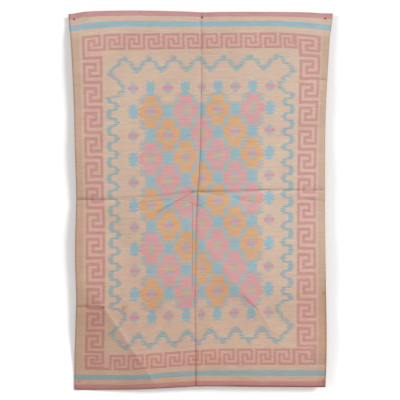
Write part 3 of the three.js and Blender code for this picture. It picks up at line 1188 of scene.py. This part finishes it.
def cotton_weave():
    """Weft-faced cotton, with its design, its fading, its dirt, its painted shade and highlights, and
    its ribs.
    """
    finish = Finish("cotton_weave")
    cloth = finish.node("ShaderNodeUVMap", {"uv_map": "cloth"}).outputs[0]
    parts = finish.node("ShaderNodeSeparateXYZ", None, {0: cloth}).outputs
    across = finish.amount(parts[0]) * 1000.0
    down = finish.amount(parts[1]) * 1000.0

    crease_depth, crease_shade_and_highlight = creases(finish, across, down)
    # Soil with painted shade, and the painted shade and highlights of the creases
    soil = soil_and_painted_shade(finish, across, down) + crease_shade_and_highlight
    colour = faded(finish, woven_design(finish, across, down), across, down)
    colour = finish.tinted(colour, shaded(finish, across, down), SHADE_TINT)
    # Soil and painted shade, with the painted highlights of the raised creases, as one tint
    colour = finish.tinted(colour, soil.held(), SOIL_AND_SHADE_TINT)
    # Stains, with the spot of painted shade at the end of the fold
    colour = finish.tinted(colour, stains_and_fold_shade(across, down).least(1.0), STAIN_AND_SHADE_TINT)

    pressed = finish.node("ShaderNodeBump", None,
                          {"Strength": 1.0, "Distance": 1.0, "Height": -crease_depth})
    bump = finish.node("ShaderNodeBump", None, {
        "Strength": WEAVE_HEIGHT["bump"], "Distance": WEAVE_HEIGHT["distance"],
        "Height": ribs_and_picks(finish, across, down), "Normal": pressed.outputs[0],
    })
    return finish.surface({
        "Base Color": colour, "Normal": bump.outputs[0], "Roughness": 0.95,
        "Specular IOR Level": 0.15, "Sheen Weight": 0.08, "Sheen Roughness": 0.6,
    })


# Iron of the nails, its rust, and how the rust lies on it
BROWNED_IRON = (0.035, 0.014, 0.010)
RUST = (0.17, 0.055, 0.030)
RUSTED = {"scale": 260.0, "detail": 4.0, "rough": 0.6, "above": 0.42, "gain": 3.0}


def dark_iron():
    """Browned iron with a little rust, rougher where the rust lies."""
    finish = Finish("dark_iron")
    place = finish.node("ShaderNodeTexCoord").outputs["Object"]
    rust = finish.grain(place, RUSTED["scale"], RUSTED["detail"], RUSTED["rough"])
    rusty = (rust - RUSTED["above"]).most(0.0) * RUSTED["gain"]
    bump = finish.node("ShaderNodeBump", None, {"Strength": 0.4, "Distance": 0.0004, "Height": rust})
    return finish.surface({
        "Base Color": finish.blend(rusty, BROWNED_IRON, RUST), "Metallic": 0.6,
        "Roughness": 0.4 + rust * 0.35, "Normal": bump.outputs[0],
    })


# Outline of a nail, from the crown of its head to its tip, in metres from the head's underside
NAIL_PROFILE = table(
    "radius along",
    (0.0000, -0.00260), (0.0016, -0.00252), (0.0031, -0.00222), (0.0044, -0.00170),
    (0.0054, -0.00110), (0.0060, -0.00055), (0.0060, -0.00015), (0.0057, 0.00000),
    (0.0019, 0.00000), (0.00175, 0.00025), (0.00175, 0.0383), (0.0009, 0.0416),
    (0.0000, 0.04335),
)
NAIL_SIDES = 40
NAIL_GAP = 0.00035
HAMMER_MARKS = 0.00022
MARK_SCALE = 420


def cut_nail(nail):
    """One nail with a domed, hammered head, turned about its own length."""
    under_head = -(CLOTH_AT_NAIL + CLOTH_THICKNESS + NAIL_GAP)
    shape = bmesh.new()
    rings = []
    for row in NAIL_PROFILE:
        if row["radius"] == 0:
            rings.append([shape.verts.new((nail["x"], under_head + row["along"], nail["z"]))])
            continue
        ring = []
        for side in range(NAIL_SIDES):
            turn = 2 * math.pi * side / NAIL_SIDES
            spot = Vector((row["radius"] * math.cos(turn), row["along"], row["radius"] * math.sin(turn)))
            if row["along"] < 0:
                spot.y += HAMMER_MARKS * noise.noise(spot * MARK_SCALE + Vector((nail["x"], 0, 0)))
            ring.append(shape.verts.new((nail["x"] + spot.x, under_head + spot.y, nail["z"] + spot.z)))
        rings.append(ring)
    for near, far in zip(rings, rings[1:]):
        for side in range(NAIL_SIDES):
            after = (side + 1) % NAIL_SIDES
            corners = [near[side % len(near)], near[after % len(near)],
                       far[after % len(far)], far[side % len(far)]]
            shape.faces.new(list(dict.fromkeys(corners)))
    bmesh.ops.recalc_face_normals(shape, faces=shape.faces)
    mesh = bpy.data.meshes.new(nail["name"] + "_cut")
    shape.to_mesh(mesh)
    shape.free()
    mesh.shade_smooth()
    piece = bpy.data.objects.new(nail["name"] + "_cut", mesh)
    bpy.context.collection.objects.link(piece)
    return piece


# Camera
PIXEL = 0.00733
PICTURE_SIDE = 400
CAMERA_X = -0.016
CAMERA_Z = -1.344
CAMERA_AWAY = 8.0
CLOTH_FRONT = 0.058
SENSOR = 36.0


def place_camera():
    data = bpy.data.cameras.new("camera")
    data.sensor_width = SENSOR
    data.lens = SENSOR * CAMERA_AWAY / (PICTURE_SIDE * PIXEL)
    camera = bpy.data.objects.new("camera", data)
    camera.location = (CAMERA_X, -(CAMERA_AWAY + CLOTH_FRONT), CAMERA_Z)
    camera.rotation_euler = (math.pi / 2, 0, 0)
    bpy.context.collection.objects.link(camera)
    bpy.context.scene.camera = camera


def plain_paint(name, colour):
    finish = Finish(name)
    return finish.surface({"Base Color": colour, "Roughness": 0.9, "Specular IOR Level": 0.1})


# Stage: a pale floor below the rug and a white margin behind its edges that takes its shadow
FLOOR_Z = -3.25
FLOOR_HALF = 1.6
MARGIN_INSIDE = 0.050
MARGIN_OUTSIDE = 0.42
MARGIN_STOPS = 24
MARGIN_FOOT = -2.70
WHITE_BOARD = (0.9, 0.9, 0.9)
PALE_FLOOR = (0.8, 0.8, 0.79)


def stage_sheet(name, points, faces, paint):
    mesh = bpy.data.meshes.new(name)
    mesh.from_pydata(points, [], faces)
    mesh.materials.append(paint)
    sheet = bpy.data.objects.new(name, mesh)
    bpy.context.collection.objects.link(sheet)


def backdrop_margin():
    """A flat ring in the plane of the nails, from just inside the rug's outline to well outside."""
    low, high = cad_low, cad_high
    zs = np.linspace(0.0, MARGIN_FOOT, MARGIN_STOPS)
    inner = [(float(left_x(z)) + MARGIN_INSIDE, z) for z in zs[::-1]]
    inner += [(float(right_x(z)) - MARGIN_INSIDE, z) for z in zs]
    inner = [(x, min(max(z, MARGIN_FOOT + MARGIN_INSIDE), -MARGIN_INSIDE)) for x, z in inner]
    centre = ((low.x + high.x) / 2, (low.z + high.z) / 2)
    outer = []
    for x, z in inner:
        side = math.copysign(1, x - centre[0])
        outer.append((centre[0] + side * ((high.x - low.x) / 2 + MARGIN_OUTSIDE),
                      np.interp(z, [MARGIN_FOOT + MARGIN_INSIDE, -MARGIN_INSIDE],
                                [low.z - MARGIN_OUTSIDE, high.z + MARGIN_OUTSIDE])))
    points = [(x, 0.0, z) for x, z in inner + outer]
    count = len(inner)
    faces = [(k, (k + 1) % count, (k + 1) % count + count, k + count) for k in range(count)]
    stage_sheet("backdrop_margin", points, faces, plain_paint("white_board", WHITE_BOARD))


def pale_floor():
    corners = ((-1, -1), (1, -1), (1, 1), (-1, 1))
    points = [(FLOOR_HALF * x, FLOOR_HALF * y, FLOOR_Z) for x, y in corners]
    stage_sheet("floor", points, [(0, 1, 2, 3)], plain_paint("pale_floor", PALE_FLOOR))


# Lights: the strength of the sky where it lights the rug and where it is seen, and the suns
SKY_LIGHT = 0.52
SKY_SEEN = 1.1
SUNS = table(
    "name x y z strength angle",
    ("key_light", 2.6, -2.0, 1.7, 2.58, 0.36),
    ("fill_light", -3.4, -2.0, 0.7, 1.40, 0.45),
    ("rear_light", 1.5, 4.0, 1.5, 1.4, 0.8),
)


def studio_light():
    """A soft sun from the upper right, a weaker one from the upper left, and light from behind."""
    world = bpy.data.worlds.new("studio")
    bpy.context.scene.world = world
    world.use_nodes = True
    tree = world.node_tree
    ground = tree.nodes["Background"]
    seen = tree.nodes.new("ShaderNodeBackground")
    for sky, strength in ((ground, SKY_LIGHT), (seen, SKY_SEEN)):
        sky.inputs["Color"].default_value = (*WHITE, 1)
        sky.inputs["Strength"].default_value = strength
    path = tree.nodes.new("ShaderNodeLightPath")
    mix = tree.nodes.new("ShaderNodeMixShader")
    tree.links.new(path.outputs["Is Camera Ray"], mix.inputs[0])
    tree.links.new(ground.outputs[0], mix.inputs[1])
    tree.links.new(seen.outputs[0], mix.inputs[2])
    tree.links.new(mix.outputs[0], tree.nodes["World Output"].inputs[0])
    for row in SUNS:
        data = bpy.data.lights.new(row["name"], "SUN")
        data.energy = row["strength"]
        data.angle = row["angle"]
        lamp = bpy.data.objects.new(row["name"], data)
        lamp.location = (row["x"], row["y"], row["z"])
        lamp.rotation_mode = "QUATERNION"
        lamp.rotation_quaternion = Vector((row["x"], row["y"], row["z"])).to_track_quat("Z", "Y")
        bpy.context.collection.objects.link(lamp)


place_camera()
studio_light()
pale_floor()
backdrop_margin()
bpy.context.scene.view_settings.view_transform = "Standard"

rug = woven_rug()
rug.data.materials.append(cotton_weave())
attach(rug, "root")
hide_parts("rug")

iron = dark_iron()
for nail in NAILS:
    piece = cut_nail(nail)
    piece.data.materials.append(iron)
    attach(piece, "root")
    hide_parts(nail["name"])
